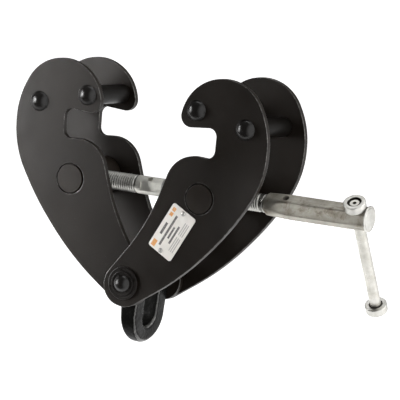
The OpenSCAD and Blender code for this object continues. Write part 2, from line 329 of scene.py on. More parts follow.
class Finish:
    """One node material, built from a few named steps."""

    def __init__(self, name):
        self.material = bpy.data.materials.new(name)
        self.material.use_nodes = True
        self.tree = self.material.node_tree
        self.shader = self.tree.nodes["Principled BSDF"]
        self.place = self.node("ShaderNodeTexCoord").outputs["Object"]

    def node(self, kind, **values):
        made = self.tree.nodes.new(kind)
        for key, value in values.items():
            setattr(made, key, value)
        return made

    def link(self, source, target):
        self.tree.links.new(source, target)

    def stretched(self, stretch):
        mapping = self.node("ShaderNodeMapping")
        mapping.inputs["Scale"].default_value = stretch
        self.link(self.place, mapping.inputs["Vector"])
        return mapping.outputs["Vector"]

    def noise(self, scale, detail=3.0, roughness=0.55, stretch=None, distortion=0.0):
        made = self.node("ShaderNodeTexNoise")
        made.inputs["Scale"].default_value = scale
        made.inputs["Detail"].default_value = detail
        made.inputs["Roughness"].default_value = roughness
        made.inputs["Distortion"].default_value = distortion
        self.link(self.stretched(stretch) if stretch else self.place, made.inputs["Vector"])
        return made.outputs["Fac"]

    def ramp(self, factor, *stops):
        """Colour ramp through (position, colour or grey) stops."""
        made = self.node("ShaderNodeValToRGB")
        elements = made.color_ramp.elements
        while len(elements) < len(stops):
            elements.new(0.5)
        for element, (position, value) in zip(elements, stops):
            element.position = position
            element.color = (*(value if isinstance(value, tuple) else [value] * 3), 1)
        self.link(factor, made.inputs["Fac"])
        return made.outputs["Color"]

    def mix(self, factor, a, b):
        made = self.node("ShaderNodeMix", data_type="RGBA")
        for socket, value in ((made.inputs[0], factor), (made.inputs[6], a), (made.inputs[7], b)):
            if isinstance(value, bpy.types.NodeSocket):
                self.link(value, socket)
            elif isinstance(value, tuple):
                socket.default_value = (*value, 1)
            else:
                socket.default_value = value
        return made.outputs[2]

    def maths(self, operation, a, b=0.0):
        made = self.node("ShaderNodeMath", operation=operation)
        for socket, value in zip(made.inputs, (a, b)):
            if isinstance(value, bpy.types.NodeSocket):
                self.link(value, socket)
            else:
                socket.default_value = value
        return made.outputs[0]

    def bump(self, height, distance, strength=1.0, under=None):
        made = self.node("ShaderNodeBump")
        made.inputs["Strength"].default_value = strength
        made.inputs["Distance"].default_value = distance * MM
        self.link(height, made.inputs["Height"])
        if under is not None:
            self.link(under, made.inputs["Normal"])
        return made.outputs["Normal"]

    def finish(self, colour=None, roughness=None, normal=None, **constants):
        """Constants go straight onto the shader's sockets, with _ for a space in a name."""
        for name, value in (("Base Color", colour), ("Roughness", roughness), ("Normal", normal)):
            socket = self.shader.inputs[name]
            if isinstance(value, bpy.types.NodeSocket):
                self.link(value, socket)
            elif value is not None:
                socket.default_value = (*value, 1) if isinstance(value, tuple) else value
        for socket, value in constants.items():
            self.shader.inputs[socket.replace("_", " ")].default_value = value
        return self.material


def black_paint(name, dark, light, rough, gloss, grain=0.05, dust=0.25, lumps=(45, 0.35, 0.25)):
    """Semi-gloss paint over rolled or forged steel, with dust specks and an uneven sheen.
    lumps is the coarse bump's (noise scale, height in millimetres, strength)."""
    f = Finish(name)
    cloud = f.noise(14, detail=4, roughness=0.6)
    colour = f.ramp(cloud, (0.32, dark), (0.70, light))
    specks = f.ramp(f.noise(1400, detail=1), (0.70, 0.0), (0.78, 1.0))
    patches = f.ramp(f.noise(35, detail=2), (0.45, 0.0), (0.75, 1.0))
    dusted = f.maths("MULTIPLY", f.maths("MULTIPLY", specks, patches), dust)
    colour = f.mix(dusted, colour, (0.30, 0.28, 0.25))
    sheen = f.noise(26, detail=6, roughness=0.68)
    roughness = f.ramp(sheen, (0.32, rough - 0.09), (0.68, rough + 0.13))
    scale, height, strength = lumps
    coarse = f.bump(f.noise(scale, detail=2), height, strength)
    fine = f.bump(f.noise(700, detail=3), grain, 0.6, coarse)
    return f.finish(colour, roughness, fine, IOR=1.5, Specular_IOR_Level=gloss)


def edge_wear_and_highlight(name, paint, steel):
    """Thin paint over a rounded edge: it shines more than the flat and lets some steel through; the
    brighter steel colour also stands for a painted highlight along the edge.
    """
    f = Finish(name)
    wear_and_highlight = f.ramp(f.noise(220, detail=4, roughness=0.7), (0.43, 0.0), (0.72, 0.65))
    colour = f.mix(wear_and_highlight, paint, steel)
    roughness = f.ramp(f.noise(300, detail=3), (0.3, 0.24), (0.7, 0.38))
    f.link(wear_and_highlight, f.shader.inputs["Metallic"])
    return f.finish(colour, roughness, f.bump(f.noise(500, detail=2), 0.05, 0.5),
                    IOR=1.5, Specular_IOR_Level=0.6)


def plated(name, dark, light, rough, streak=(1, 1, 1), grain=0.05, stain=None, stain_share=0.0,
           metal=1.0):
    """Zinc plated steel with drawn or turned streaks, cloudy patches and a few stains."""
    f = Finish(name)
    cloud = f.noise(55, detail=5, roughness=0.65)
    colour = f.ramp(cloud, (0.33, dark), (0.66, light))
    lines = f.noise(260, detail=3, stretch=streak)
    streaks = f.ramp(lines, (0.35, 1.0), (0.60, 0.0))
    colour = f.mix(f.maths("MULTIPLY", streaks, 0.35), colour, dark)
    if stain:
        blots = f.noise(75, detail=5, roughness=0.7, distortion=0.6)
        marks = f.ramp(blots, (0.52, 0.0), (0.68, 1.0))
        colour = f.mix(f.maths("MULTIPLY", marks, stain_share), colour, stain)
    haze = f.noise(140, detail=4, roughness=0.6)
    roughness = f.ramp(haze, (0.30, rough - 0.08), (0.72, rough + 0.12))
    drawn = f.bump(lines, grain, 0.5)
    pitted = f.bump(f.noise(900, detail=2), grain, 0.4, drawn)
    return f.finish(colour, roughness, pitted, Metallic=metal)


jaw_paint = black_paint(
    "jaw_paint", (0.0068, 0.0048, 0.0032), (0.0120, 0.0088, 0.0064), 0.44, gloss=0.18, dust=0.20)
# edge colours: the brighter steel is a painted highlight along with some worn paint
jaw_edge_highlight = edge_wear_and_highlight("jaw_edge_highlight", (0.008, 0.0065, 0.005), (0.30, 0.29, 0.27))
# the bow's long edges get the same brighter steel: painted highlight along with some worn paint
forged_ridge_highlight = edge_wear_and_highlight("forged_ridge_highlight", (0.012, 0.012, 0.011), (0.20, 0.196, 0.185))
rivet_paint = black_paint(
    "rivet_paint", (0.0040, 0.0034, 0.0030), (0.007, 0.0060, 0.0052), 0.24, gloss=0.36, grain=0.03,
    dust=0.10)
forged_paint = black_paint(
    "forged_paint", (0.0035, 0.0035, 0.0033), (0.007, 0.007, 0.0065), 0.24, gloss=0.06, grain=0.16,
    lumps=(190, 0.6, 0.8))
washer_paint = black_paint(
    "washer_paint", (0.0060, 0.0048, 0.0040), (0.0110, 0.0088, 0.0070), 0.30, gloss=0.24, dust=0.12)
nut_paint = black_paint(
    "nut_paint", (0.0100, 0.0070, 0.0050), (0.0150, 0.0112, 0.0082), 0.40, gloss=0.2, dust=0.15)
zinc_thread = plated("zinc_thread", (0.20, 0.20, 0.185), (0.46, 0.455, 0.43), 0.30, (40, 40, 1))
zinc_plain = plated("zinc_plain", (0.62, 0.61, 0.56), (0.88, 0.87, 0.81), 0.46, metal=0.55)
spacer_paint = black_paint(
    "spacer_paint", (0.0030, 0.0026, 0.0022), (0.0060, 0.0052, 0.0044), 0.34, gloss=0.07, dust=0.10)
zinc_sleeve = plated(
    "zinc_sleeve", (0.235, 0.22, 0.183), (0.455, 0.435, 0.383), 0.46, (1, 1, 0.06), grain=0.12,
    stain=(0.13, 0.10, 0.07), stain_share=0.9, metal=0.75)
zinc_bar = plated(
    "zinc_bar", (0.42, 0.41, 0.37), (0.68, 0.67, 0.635), 0.32, (1, 1, 0.05),
    stain=(0.42, 0.38, 0.29), stain_share=0.30)
zinc_cap = plated(
    "zinc_cap", (0.46, 0.455, 0.425), (0.70, 0.69, 0.66), 0.36, (1, 1, 6),
    stain=(0.40, 0.37, 0.30), stain_share=0.25)
spring_steel = plated("spring_steel", (0.06, 0.055, 0.05), (0.16, 0.15, 0.14), 0.40)
label_rivet_metal = plated("label_rivet_metal", (0.42, 0.41, 0.39), (0.66, 0.65, 0.62), 0.38)
# dark colour for thread roots and recesses: painted shade along with some dirt
dirt_and_shade = plated("dirt_and_shade", (0.025, 0.022, 0.018), (0.10, 0.09, 0.075), 0.55)


def second_finish(obj, inside, index=1):
    """Gives a turned piece's material of that index to the faces for which inside(radius, height)
    holds, both in millimetres."""
    for face in obj.data.polygons:
        if inside(math.hypot(face.center.x, face.center.y) / MM, face.center.z / MM):
            face.material_index = index


def dress(obj, body, slot, materials, *nodes):
    """Gives a piece its materials, its body and the CAD nodes it stands for; its slot argument is
    not used.
    Clearing the materials resets the faces' indices, so they are kept and put back."""
    places = [face.material_index for face in obj.data.polygons]
    obj.data.materials.clear()
    for material in materials if isinstance(materials, tuple) else (materials,):
        obj.data.materials.append(material)
    obj.data.polygons.foreach_set("material_index", places)
    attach(obj, body)
    if nodes:
        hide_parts(*nodes)
    return obj


# ---- jaws ----

def jaw_plate(side, node, body):
    """One hook-shaped plate. side is 1 on the right and -1 on the left."""
    corners = [(side * x, z, r) for x, z, r in JAW_CORNERS]
    loops = [rounded(corners, 2.0),
             circle(0, 0, PIN_D / 2 + HOLE_PLAY),
             circle(side * TRUNNION.x, TRUNNION.z, TRUNNION_D / 2 + HOLE_PLAY, 96)]
    loops += [circle(side * at.x, at.z, RIVET_D / 2 + HOLE_PLAY) for at in (TIP, BACK)]
    y = middle(node).y
    # local X, Y, Z are the row's X, Z and -Y
    flat = frame_at((0, y, 0), (0, -1, 0), (1, 0, 0))
    plate = curve_plate(node + "_shaped", loops, PLATE_T, 0.55, flat)
    # the rounded edges take brighter steel: painted highlight along with some worn paint
    return dress(plate, body, "jaw_paint", (jaw_paint, jaw_edge_highlight), node)


jaw_plate(1, "right_front_plate", "right_jaw")
jaw_plate(1, "right_rear_plate", "right_jaw")
jaw_plate(-1, "left_front_plate", "left_jaw")
jaw_plate(-1, "left_rear_plate", "left_jaw")


def dome_points(diameter, height):
    """Points of a dome from its rim up to its crown, as (radius, height above its seat)."""
    count = 12
    ball = (diameter ** 2 / 4 + height ** 2) / (2 * height)
    rim = math.asin(diameter / 2 / ball)
    angles = [rim * (1 - i / count) for i in range(count)]
    points = [(ball * math.sin(a), height - ball + ball * math.cos(a)) for a in angles]
    return points + [(0, height)]


def riveted_pin(name, matrix, shoulder, shank, dome_d, dome_h, seat):
    """Pin about its frame's Z axis with a hammered dome at each end. shoulder is (diameter, half
    length) of a thicker middle, or None."""
    head = [(dome_d / 2 - 0.25, seat), (dome_d / 2, seat + 0.25)]
    head += [(r, seat + h) for r, h in dome_points(dome_d, dome_h) if h > 0.3]
    half = [(shank / 2, seat)] + head
    if shoulder:
        half = [(shoulder[0] / 2, shoulder[1]), (shank / 2, shoulder[1])] + half
    lower = [(r, -h) for r, h in reversed(half)]
    return lathe(name, lower + half, matrix, sharp=40)


def jaw_rivets(side, prefix, body, face, inside):
    """A jaw's two rivets and the spacer tubes on them; face and inside are half widths."""
    for place, at in (("tip", TIP), ("back", BACK)):
        matrix = along_y(side * at.x, at.z)
        node = f"{prefix}_{place}_rivet"
        rivet = riveted_pin(node + "_shaped", matrix, None, RIVET_D, DOME_D, DOME_H - 0.02, face)
        dress(rivet, body, "black_rivet", rivet_paint, node)
        node = f"{prefix}_{place}_spacer"
        tube = lathe(node + "_shaped", [
            (RIVET_D / 2 + 0.05, -inside + 0.02), (SPACER_D / 2, -inside + 0.02, 0.5),
            (SPACER_D / 2, inside - 0.02, 0.5), (RIVET_D / 2 + 0.05, inside - 0.02)], matrix)
        dress(tube, body, "jaw_paint", spacer_paint, node)


jaw_rivets(1, "right", "right_jaw", -RIGHT_OUT, RIGHT_IN)
jaw_rivets(-1, "left", "left_jaw", -LEFT_OUT, LEFT_IN)


# ---- trunnion nuts ----

def trunnion_nut(side, prefix):
    node = f"{prefix}_trunnion_nut"
    stub = mm_box(node)[1].y
    body = (RIGHT_IN if side > 0 else LEFT_IN) - SIDE_GAP
    rim = TRUNNION_D / 2 - 1.1
    half = [(NUT_D / 2, body, 0.8), (TRUNNION_D / 2, body), (TRUNNION_D / 2, stub - 2.6),
            (rim, stub - 2.4), (rim, stub, 0.45), (0, stub)]
    outline = [(c[0], -c[1], *c[2:]) for c in reversed(half)] + half
    nut = lathe(node + "_shaped", outline, along_y(side * TRUNNION.x, TRUNNION.z))
    cut(nut, [cutter(THREAD_D / 2 + HOLE_PLAY, 60, along_spindle(side * TRUNNION.x))])
    return dress(nut, f"{prefix}_nut", "blackened_nut", nut_paint, node)


trunnion_nut(1, "right")
trunnion_nut(-1, "left")


# ---- pivot pin, washers and bow ----

pin_seat = mm_box("front_pivot_washer")[0].y          # outer face of the front washer's step
pin_shoulder = mm_box("front_pivot_washer")[1].y
pivot_pin = riveted_pin("pivot_pin_shaped", along_y(0, 0), (PIN_D, -pin_shoulder), PIN_END_D,
                        PIN_DOME_D, PIN_DOME_H, -pin_seat)
dress(pivot_pin, "pivot", "black_rivet", rivet_paint, "pivot_pin")


def pivot_washer(node, towards):
    """Stepped washer; towards is -1 at the front and 1 at the rear."""
    # pin_shoulder and pin_seat lie on the front side, so they are negative
    thick = pin_shoulder - pin_seat
    outer = mm_box(node)[1].x
    bore = PIN_END_D / 2 + 0.05
    matrix = along_y(0, 0, towards * -pin_shoulder, towards)
    washer = lathe(node + "_shaped", [
        (bore, 0), (outer, 0, 0.3), (outer, 2.2, 0.9), (12.5, 2.2, 0.2), (12.2, 1.9, 0.2),
        (11.9, 2.1, 0.1), (11.8, thick, 0.5), (9.7, thick, 0.3), (9.3, thick - 0.4, 0.15),
        (8.7, thick - 0.4, 0.1), (8.6, thick - 0.1, 0.1), (bore, thick - 0.1)], matrix)
    return dress(washer, "pivot", "black_rivet", washer_paint, node)


pivot_washer("front_pivot_washer", -1)
pivot_washer("rear_pivot_washer", 1)


def section_point(angle, wide, thick, radius):
    """Point on a rounded rectangle, given by half sizes, in the direction of the angle."""
    c, s = math.cos(angle), math.sin(angle)
    reach = min(wide / max(abs(c), 1e-9), thick / max(abs(s), 1e-9))
    x, y = reach * c, reach * s
    if abs(x) <= wide - radius or abs(y) <= thick - radius:
        return x, y
    corner = Vector((math.copysign(wide - radius, x), math.copysign(thick - radius, y)))
    return tuple(corner + (Vector((x, y)) - corner).normalized() * radius)


def tube_faces(rows, around):
    """Quads between neighbouring rows of a tube, each row a closed ring of that many points."""
    return [[j * around + k, j * around + (k + 1) % around,
             (j + 1) * around + (k + 1) % around, (j + 1) * around + k]
            for j in range(rows - 1) for k in range(around)]


def forged_bow():
    """Forged U: a section swept round the bend and up the widening legs, blended into an eye on
    each side."""
    low, high = mm_box("shackle_bow")
    out = high.y
    half_y, half_x, half_x_top = BOW_BAR / 2, BOW_BAR / 2 - 0.05, BOW_TOP / 2 - 0.1
    edge = 2.6                                        # radius of the section's long edges
    centre = out - half_y
    bend_z = low.z + out
    eye_r = BOW_EYE_R - 0.05
    top = 3
    leg_steps, bend_steps = 10, 28
    # each station is a section's middle and the direction towards the inside of the U
    stations = []
    for i in range(leg_steps + 1):
        z = top + (bend_z - top) * i / leg_steps
        stations.append((Vector((0, -centre, z)), Vector((0, 1, 0))))
    for i in range(1, bend_steps):
        a = math.pi * i / bend_steps
        spot = Vector((0, -centre * math.cos(a), bend_z - centre * math.sin(a)))
        stations.append((spot, Vector((0, math.cos(a), math.sin(a)))))
    for i in range(leg_steps + 1):
        z = bend_z + (top - bend_z) * i / leg_steps
        stations.append((Vector((0, centre, z)), Vector((0, -1, 0))))
    around = 64
    verts = []
    for spot, inward in stations:
        # wider towards the eyes, narrower and rounder at the bottom of the bend
        share = max(0.0, min(1.0, 1 - spot.z / bend_z))
        low_share = max(0.0, (bend_z - spot.z) / centre) ** 2
        wide = half_x + (half_x_top - half_x) * share - 1.6 * low_share
        for k in range(around):
            angle = TURN * (k + 0.5) / around
            x, deep = section_point(angle, wide, half_y, edge + 2.4 * low_share)
            verts.append(Vector((x, 0, 0)) + spot + inward * deep)
    count = len(stations)
    faces = tube_faces(count, around)
    faces.append(list(range(around)))
    faces.append([(count - 1) * around + k for k in reversed(range(around))])
    bow = make_object("shackle_bow_shaped", verts, faces)
    eyes = []
    for side in (-1, 1):
        disc = [(0, -half_y), (eye_r, -half_y, 2.2), (eye_r, half_y, 2.2), (0, half_y)]
        eyes.append(lathe("eye", disc, along_y(0, 0, side * centre)))
    cut(bow, eyes, operation="UNION")
    remesh = bow.modifiers.new("blend", "REMESH")
    remesh.mode = "VOXEL"
    remesh.voxel_size = 0.6 * MM
    relax = bow.modifiers.new("relax", "SMOOTH")
    relax.iterations = 5
    relax.factor = 0.5
    apply_modifiers(bow)
    cut(bow, [cutter(PIN_D / 2 + 0.12, 80, along_y(0, 0))], sharp=38)
    # the rounded long edges, between the sides and the inner and outer faces, take brighter steel:
    # painted highlight along with some worn paint
    for face in bow.data.polygons:
        if 0.42 < abs(face.normal.x) < 0.90:
            face.material_index = 1
    return dress(bow, "bow", "black_forging", (forged_paint, forged_ridge_highlight), "shackle_bow")


forged_bow()


# ---- spindle ----

# One turn of the thread: (share of the pitch, share of the depth)
THREAD_FORM = [(0.0, 0.10), (0.05, 0.0), (0.15, 0.0), (0.20, 0.10),
               (0.50, 0.92), (0.56, 1.0), (0.64, 1.0), (0.70, 0.92)]
AROUND = 48                                           # points round the spindle


def thread_rows(x0, x1, hand, verts, faces, ring):
    """Adds a helical thread from ring at x0 to x1 and returns its last ring of point numbers.
    hand is 1 for a right-hand thread and -1 for a left-hand one."""
    turns = int((x1 - x0) / PITCH) - 1
    start = x0 + (x1 - x0 - (turns + 1) * PITCH) / 2
    grid = []
    for k in range(turns * AROUND + 1):
        # the thread runs out over less than half a turn at each end
        fade = min(1.0, 0.2 + k / (0.4 * AROUND), 0.2 + (turns * AROUND - k) / (0.4 * AROUND))
        a = hand * TURN * k / AROUND
        row = []
        for share, depth in THREAD_FORM:
            x = start + PITCH * (k / AROUND + share)
            r = THREAD_D / 2 - THREAD_DEPTH * depth * fade
            row.append(len(verts))
            verts.append((r * math.cos(a), r * math.sin(a), x))
        grid.append(row)
    # the last point of a row is the first point one turn on
    for k in range(turns * AROUND):
        here, there = list(grid[k]), list(grid[k + 1])
        if k + AROUND + 1 < len(grid):
            here.append(grid[k + AROUND][0])
            there.append(grid[k + AROUND + 1][0])
        for j in range(len(here) - 1):
            faces.append([here[j], here[j + 1], there[j + 1], there[j]])
    order = range(AROUND + 1)
    first = [grid[k][0] for k in order]
    before = [ring[(hand * k) % AROUND] for k in order]
    for k in range(AROUND):
        faces.append([before[k], first[k], first[k + 1], before[k + 1]])
    faces.append([ring[0], first[AROUND], *reversed(grid[0])])
    rows = [len(grid) - 1 - AROUND + k for k in order]
    last = [grid[row][-1] for row in rows]
    end = ring_at(THREAD_D / 2, x1, verts)
    beyond = [end[(hand * row) % AROUND] for row in rows]
    for k in range(AROUND):
        faces.append([last[k], last[k + 1], beyond[k + 1], beyond[k]])
    faces.append([last[0], *grid[-1], beyond[0]])
    return end


def ring_at(radius, x, verts):
    """Adds a ring of points about the spindle's axis and returns their numbers."""
    start = len(verts)
    verts += turned_ring(radius, x, AROUND)
    return list(range(start, start + AROUND))


def join_rings(a, b, faces):
    for k in range(AROUND):
        m = (k + 1) % AROUND
        faces.append([a[k], a[m], b[m], b[k]])


def make_spindle():
    verts, faces = [], []
    left_end = mm_box("spindle")[0].x
    right_end = mm_box("spindle")[1].x
    crest = THREAD_D / 2
    root = crest - THREAD_DEPTH
    spigot = SPIGOT_D / 2
    shank = SLEEVE_BORE / 2 - 0.05
    thread_from = LEFT_THREAD_X + 1.2
    rings = [ring_at(spigot - 1, left_end, verts), ring_at(spigot, left_end + 1, verts),
             ring_at(spigot, LEFT_THREAD_X, verts), ring_at(root, LEFT_THREAD_X, verts),
             ring_at(crest, thread_from, verts)]
    for a, b in zip(rings, rings[1:]):
        join_rings(a, b, faces)
    ring = thread_rows(thread_from, PLAIN_FROM, -1, verts, faces, rings[-1])
    plain = ring_at(crest, PLAIN_TO, verts)
    join_rings(ring, plain, faces)
    ring = thread_rows(PLAIN_TO, SLEEVE_X - 2.2, 1, verts, faces, plain)
    tail = [ring_at(root, SLEEVE_X - 1, verts), ring_at(root, SLEEVE_X, verts),
            ring_at(shank, SLEEVE_X, verts), ring_at(shank, right_end, verts)]
    for a, b in zip([ring] + tail, tail):
        join_rings(a, b, faces)
    faces.append(list(reversed(rings[0])))
    faces.append(tail[-1])
    spindle = make_object("spindle_shaped", verts, faces, along_spindle(), sharp=33)
    middle_x = (PLAIN_FROM + PLAIN_TO) / 2
    flat_from, flat_to = PLAIN_FROM + PAD_MARGIN, PLAIN_TO - PAD_MARGIN
    through = 3 * THREAD_D
    # milled pad on the side of the plain middle, the setting hole above it and two cross holes
    tools = [block((flat_from, -THREAD_D, -THREAD_D), (flat_to, PAD_DEPTH - crest, THREAD_D)),
             cutter(SETTING_HOLE_D / 2, through, along_bar(middle_x, through / 2)),
             cutter(SLEEVE_PIN_D / 2, through, along_bar(SLEEVE_PIN_X)),
             cutter(STOP_PIN_D / 2, through, along_bar(STOP_PIN_X))]
    return cut(spindle, tools, sharp=33)


def block(low, high):
    """Block for cutting, its corners given from the spindle's axis in the row's directions."""
    corners = [(x, y, z + SPINDLE_Z) for x in (low[0], high[0]) for y in (low[1], high[1])
               for z in (low[2], high[2])]
    faces = [(0, 1, 3, 2), (4, 6, 7, 5), (0, 4, 5, 1), (2, 3, 7, 6), (0, 2, 6, 4), (1, 5, 7, 3)]
    return make_object("block", corners, faces)


def in_root(radius, x):
    """True in the threads' lower half and on the turned-down ends, which take the dark colour:
    painted shade in the thread roots, along with some dirt.
    """
    return radius < THREAD_D / 2 - THREAD_DEPTH * 0.55 and not PLAIN_FROM < x < PLAIN_TO


spindle = make_spindle()
second_finish(spindle, lambda r, x: PLAIN_FROM < x < PLAIN_TO)
# thread roots and turned-down ends take the dark colour: painted shade along with some dirt
second_finish(spindle, in_root, 2)
dress(spindle, "spindle", "zinc_thread", (zinc_thread, zinc_plain, dirt_and_shade), "spindle")


def stop_collar(node, play, radius, roundings):
    """Ring on the spindle's turned left end; roundings are its four corners', from the bore's
    outer end round to the bore's inner end."""
    low, high = mm_box(node)
    bore = SPIGOT_D / 2 + play
    length = high.x - low.x
    corners = [(bore, 0), (radius, 0), (radius, length), (bore, length)]
    outline = [(*corner, rounding) for corner, rounding in zip(corners, roundings)]
    return lathe(node + "_shaped", outline, along_spindle(low.x))


stop_washer = stop_collar("stop_washer", 0.08, 12.5, (0.2, 0.5, 0.5, 0.2))
dress(stop_washer, "stop_washer", "zinc_thread", zinc_cap, "stop_washer")

end_stop = stop_collar("end_stop", 0.05, 12, (0.3, 1.2, 0.8, 0.2))
cut(end_stop, [cutter(STOP_PIN_D / 2, 60, along_bar(STOP_PIN_X))])
dress(end_stop, "spindle", "zinc_thread", zinc_cap, "end_stop")


def roll_pin(node, x, outer, inner, half):
    """Rolled tube across the spindle; half is half its length."""
    pin = lathe(node + "_shaped", [
        (inner / 2, -half, 0.15), (outer / 2, -half, 0.4), (outer / 2, half, 0.4),
        (inner / 2, half, 0.15)], along_bar(x), 48)
    return dress(pin, "spindle", "spring_steel", spring_steel, node)


roll_pin("end_stop_pin", STOP_PIN_X, 3.9, 1.8, 11.4)
roll_pin("sleeve_pin", SLEEVE_PIN_X, SLEEVE_PIN_D - 0.1, 3.0, (SLEEVE_AF - 4) / 2)


# ---- handle sleeve ----

# Turned outline that the hexagon is cut down to, as (x, radius)
SLEEVE_OUTLINE = [(SLEEVE_X, 9.25), (SLEEVE_X + 1.8, 10.8), (150, 12.2), (208, 12.1),
                  (SLEEVE_END - 0.4, 11.3), (SLEEVE_END, 11.0)]


def outline_radius(x, outline):
    """Radius of an (x, radius) outline at x."""
    for (xa, ra), (xb, rb) in zip(outline, outline[1:]):
        if x <= xb:
            return ra + (rb - ra) * (x - xa) / (xb - xa)
    return outline[-1][1]


def soft_min(a, b, blend):
    """Smaller of two values, with the crossing rounded over the blend."""
    h = max(0.0, blend - abs(a - b)) / blend
    return min(a, b) - h * h * blend / 4


def make_sleeve():
    """Hexagon bar cut down to a turned outline, with its corners and the crossings softened."""
    around = 192
    rows = [SLEEVE_X + d for d in (0, 0.5, 1.0, 1.5, 1.8, 2.1, 2.6, 3.2, 4)]
    rows += [SLEEVE_X + 5 + i for i in range(int(SLEEVE_END - SLEEVE_X - 6))]
    rows += [SLEEVE_END - 0.8, SLEEVE_END - 0.4, SLEEVE_END]
    verts = []
    for x in rows:
        turned = outline_radius(x, SLEEVE_OUTLINE)
        for k in range(around):
            a = TURN * k / around
            # angle from the middle of the nearest flat
            off = (a + TURN / 12) % (TURN / 6) - TURN / 12
            flat = SLEEVE_AF / 2 / math.cos(off)
            r = soft_min(turned, flat, 0.35)
            verts.append((r * math.cos(a), r * math.sin(a), x))
    last = (len(rows) - 1) * around
    near = len(verts)                                 # first point of the bore's ring at SLEEVE_X
    far = near + around
    verts += turned_ring(SLEEVE_BORE / 2, SLEEVE_X, around)
    verts += turned_ring(SLEEVE_BORE / 2, SLEEVE_END, around)
    faces = tube_faces(len(rows), around)
    for k in range(around):
        m = (k + 1) % around
        faces.append([k, m, near + m, near + k])
        faces.append([last + k, last + m, far + m, far + k])
        faces.append([near + k, near + m, far + m, far + k])
    turned_frame = frame_at((0, 0, SPINDLE_Z), (1, 0, 0), BAR_AXIS)
    sleeve = make_object("handle_sleeve_shaped", verts, faces, turned_frame, sharp=50)
    cut(sleeve, [cutter(SLEEVE_PIN_D / 2 + 0.02, 60, along_bar(SLEEVE_PIN_X)),
                 cutter(BAR_D / 2 + HOLE_PLAY, 60, along_bar(BAR_X))], sharp=50)
    return dress(sleeve, "spindle", "zinc_sleeve", zinc_sleeve, "handle_sleeve")


make_sleeve()

plug_low, plug_high = mm_box("sleeve_end_plug")
plug_r = (plug_high.z - plug_low.z) / 2
plug_bore = SLEEVE_BORE / 2 - 0.06
plug = lathe("sleeve_end_plug_shaped", [
    (0, SLEEVE_END - 3.9), (plug_bore, SLEEVE_END - 3.9, 0.3), (plug_bore, SLEEVE_END + 0.05),
    (plug_r - 0.9, SLEEVE_END + 0.05), (plug_r - 0.9, SLEEVE_END + 0.25),
    (plug_r, SLEEVE_END + 0.3, 0.2), (plug_r, SLEEVE_END + 1.5, 0.5),
    (plug_r - 1.3, SLEEVE_END + 1.7, 0.1), (plug_r - 1.4, SLEEVE_END + 1.2, 0.1),
    (plug_r - 1.9, SLEEVE_END + 1.2, 0.1), (plug_r - 2.1, plug_high.x - 0.2, 0.5),
    (0, plug_high.x)], along_spindle())
dress(plug, "spindle", "zinc_bar", zinc_cap, "sleeve_end_plug")


# ---- tommy bar ----

upper_end = CAP_IN + CAP_H - 1.5
lower_end = CAP_IN - BAR_CLEAR - CAP_H + 1.5
bar = lathe("tommy_bar_shaped", [
    (0, lower_end + 2.4), (1.9, lower_end, 0.1), (BAR_D / 2 - 0.9, lower_end, 0.2),
    (BAR_D / 2, lower_end + 1.2, 0.3), (BAR_D / 2, upper_end - 1.2, 0.3),
    (BAR_D / 2 - 0.9, upper_end, 0.2), (1.9, upper_end, 0.1), (0, upper_end - 2.4)],
    along_bar(BAR_X))


def on_bar_end(radius, height):
    """True in the centre marks and on the chamfers of the bar's two ends."""
    near_end = min(abs(height - upper_end), abs(height - lower_end)) < 2.5
    return near_end and not 2 < radius < BAR_D / 2 - 0.95


# the centre marks and end chamfers, sunk in the caps' reliefs, take the dark colour: painted shade
# along with some dirt
second_finish(bar, on_bar_end)
dress(bar, "tommy_bar", "zinc_bar", (zinc_bar, dirt_and_shade), "tommy_bar")


def bar_cap(node, height, up):
    """End cap with a relief round the bar on both faces; up is 1 or -1 along the bar."""
    matrix = frame_at(Vector((BAR_X, 0, SPINDLE_Z)) + BAR_AXIS * height, BAR_AXIS * up, (1, 0, 0))
    hole = BAR_D / 2 + 0.06
    cap = lathe(node + "_shaped", [
        (hole, 1.6), (hole + 1.1, 1.5, 0.2), (hole + 1.2, 0, 0.2), (CAP_D / 2, 0, 0.7),
        (CAP_D / 2, CAP_H, 0.7), (hole + 1.3, CAP_H, 0.3), (hole + 1.1, CAP_H - 2.2, 0.1),
        (hole, CAP_H - 2.3)], matrix)
    # the relief round the bar takes the dark colour: painted shade along with some dirt
    second_finish(cap, lambda r, z: r < hole + 1.25)
    # in the row's own axes, so that the cap's box is as small as the cap
    cap.data.transform(cap.matrix_world)
    cap.matrix_world = Matrix.Identity(4)
    return dress(cap, "tommy_bar", "zinc_bar", (zinc_cap, dirt_and_shade), node)


bar_cap("upper_bar_cap", CAP_IN, 1)
bar_cap("lower_bar_cap", CAP_IN - BAR_CLEAR, -1)


# ---- nameplate ----

LABEL_FRAME = frame_at((LABEL_AT.x, RIGHT_OUT, LABEL_AT.z), (0, -1, 0),
                       (math.cos(LABEL_TURN), 0, math.sin(LABEL_TURN)))

# Printed marks as (x, y, width, height, colour), from the plate's centre in millimetres
ORANGE = (0.80, 0.33, 0.035)
INK = (0.055, 0.05, 0.05)
GREY = (0.42, 0.40, 0.38)
MARKS = [(-19.5, 10.0, 7, 4.6, ORANGE), (14.0, 10.3, 4.0, 3.6, ORANGE),
         (19.5, 10.3, 4.0, 3.6, ORANGE), (-2.0, 9.2, 13, 2.6, INK), (-1.0, 4.2, 34, 2.3, INK),
         (-1.0, 0.2, 13, 2.0, INK), (-1.0, -3.6, 20, 2.1, INK)]
for x, wide in ((-8.5, 16), (9.0, 14)):
    MARKS += [(x, y, wide, 0.9, GREY) for y in (-7.2, -9.3, -11.4)]


